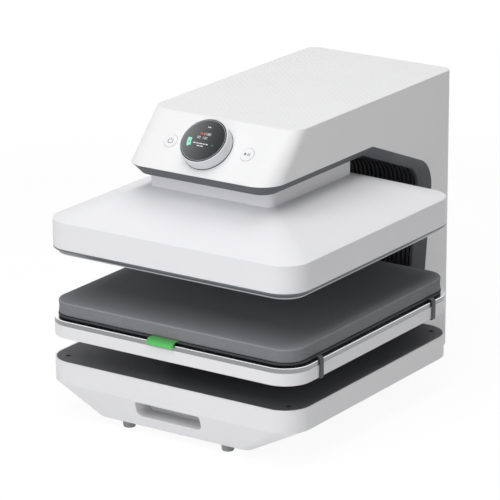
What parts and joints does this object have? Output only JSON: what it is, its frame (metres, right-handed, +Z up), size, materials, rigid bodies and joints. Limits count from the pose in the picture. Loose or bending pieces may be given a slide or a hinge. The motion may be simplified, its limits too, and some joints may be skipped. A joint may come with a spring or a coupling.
{
  "type": "automatic heat press",
  "caption": "Desktop press that lowers a square heated platen from a cantilevered head onto a padded table, with a dial display, two keys and a folded pull tab.",
  "frame": {"origin": "on the ground under the middle of the machine's bounding box", "axes": "+Z up, +Y from the front to the column at the back, +X to the machine's right as seen from the front"},
  "size_m": [0.4044, 0.5359, 0.4158],
  "materials": {
    "white_shell": "satin white moulding",
    "dark_plate": "fine matte dark paint",
    "dark_screw": "blackened steel",
    "foot_rubber": "matte black rubber",
    "steel_fixing": "plated steel",
    "frame_steel": "rolled steel plate",
    "cast_pedestal": "dark matte paint over a casting",
    "bearing_steel": "ground steel",
    "motor_can": "dark enamel",
    "gear_brass": "machined",
    "gear_nylon": "natural nylon",
    "heat_blanket": "woven glass fibre",
    "heater_tube": "oxidised tube",
    "cutout_body": "moulded disc",
    "heat_aluminium": "dark non-stick coating over cast aluminium",
    "dark_trim": "dark grey moulding",
    "rim_aluminium": "satin anodised",
    "pad_board": "black board",
    "pad_fabric": "dense speckled foam under cloth",
    "dark_clip": "dark sprung steel",
    "tab_rubber": "soft green strip",
    "rib_plastic": "near black ribs",
    "rear_plate": "white painted sheet",
    "black_plastic": "black moulding",
    "supply_case": "folded sheet",
    "circuit_board": "solder mask green",
    "knob_silver": "light satin ring",
    "display_glass": "black glass over the display",
    "button_white": "satin white cap"
  },
  "bodies": {
    "press_frame": {"base_shell": "white_shell", "base_top_plate": "dark_plate", "base_plate_screws": "dark_screw", "rubber_feet": "foot_rubber", "foot_screws": "steel_fixing", "frame_plate_left": "frame_steel", "frame_plate_right": "frame_steel", "base_cross_plate": "frame_steel", "tray_pedestal": "cast_pedestal", "column_tie_plate": "frame_steel", "head_frame_plate": "frame_steel", "linear_bearings": "bearing_steel", "inner_sleeve": "dark_trim", "drive_plate": "frame_steel", "drive_standoffs": "steel_fixing", "screw_bearing": "bearing_steel", "gear_motor": "motor_can", "tray_housing": "white_shell", "tray_plate": "rim_aluminium", "pad_board": "pad_board", "press_pad": "pad_fabric", "pad_clips": "dark_clip", "pull_tab": "tab_rubber", "outer_housing": "white_shell", "throat_liner": "dark_trim", "throat_ribs": "rib_plastic", "rear_cover": "rear_plate", "rear_cover_screws": "dark_screw", "fan_frame": "black_plastic", "power_supply": "supply_case", "control_board": "circuit_board", "power_inlet": "black_plastic", "switch_body": "black_plastic", "knob_collar": "dark_trim", "display_body": "black_plastic", "display_glass": "display_glass", "console_board": "circuit_board", "tact_switches": "black_plastic"},
    "platen": {"ram_nut": "gear_brass", "ram_tube": "frame_steel", "guide_rods": "bearing_steel", "carrier_plate": "frame_steel", "platen_spacers": "steel_fixing", "insulation_blanket": "heat_blanket", "heating_element": "heater_tube", "temperature_probe": "heater_tube", "thermal_cutout": "cutout_body", "heat_plate": "heat_aluminium", "platen_trim": "dark_trim", "platen_cover": "white_shell", "neck_shroud": "white_shell"},
    "screw": {"lead_screw": "bearing_steel", "screw_gear": "gear_nylon"},
    "drive_shaft": {"motor_shaft": "bearing_steel", "motor_pinion": "gear_brass"},
    "knob": {"knob_ring": "knob_silver"},
    "power_key": {"power_button": "button_white"},
    "start_key": {"start_button": "button_white"},
    "rocker": {"switch_rocker": "black_plastic"},
    "fan": {"fan_rotor": "black_plastic"}
  },
  "joints": [
    {"name": "platen_slide", "type": "slide", "parent": "press_frame", "child": "platen", "axis": [0, 0, -1], "range_m": [0, 0.0664]},
    {"name": "screw_spin", "type": "hinge", "parent": "press_frame", "child": "screw", "pos_m": [0, -0.06248, 0.3894], "axis": [0, 0, 1], "range_deg": [-20, 1510]},
    {"name": "pinion_spin", "type": "hinge", "parent": "press_frame", "child": "drive_shaft", "pos_m": [0, -0.01748, 0.3894], "axis": [0, 0, 1], "range_deg": [-3010, 20]},
    {"name": "knob_turn", "type": "hinge", "parent": "press_frame", "child": "knob", "pos_m": [0, -0.1613, 0.38015], "axis": [0, -0.6845, 0.729], "continuous": true},
    {"name": "power_press", "type": "slide", "parent": "press_frame", "child": "power_key", "axis": [0, 0.6845, -0.729], "range_m": [0, 0.0008], "stiffness_N_per_m": 1200, "springref_m": -0.0002},
    {"name": "start_press", "type": "slide", "parent": "press_frame", "child": "start_key", "axis": [0, 0.6845, -0.729], "range_m": [0, 0.0008], "stiffness_N_per_m": 1200, "springref_m": -0.0002},
    {"name": "rocker_tilt", "type": "hinge", "parent": "press_frame", "child": "rocker", "pos_m": [-0.02, 0.26303, 0.062], "axis": [1, 0, 0], "range_deg": [0, 14]},
    {"name": "fan_spin", "type": "hinge", "parent": "press_frame", "child": "fan", "pos_m": [0, 0.25703, 0.3353], "axis": [0, 1, 0], "continuous": true}
  ],
  "couplings": [
    {"joint": "screw_spin", "follows": "platen_slide", "rad_per_m": 392.7},
    {"joint": "pinion_spin", "follows": "platen_slide", "rad_per_m": -785.4}
  ]
}
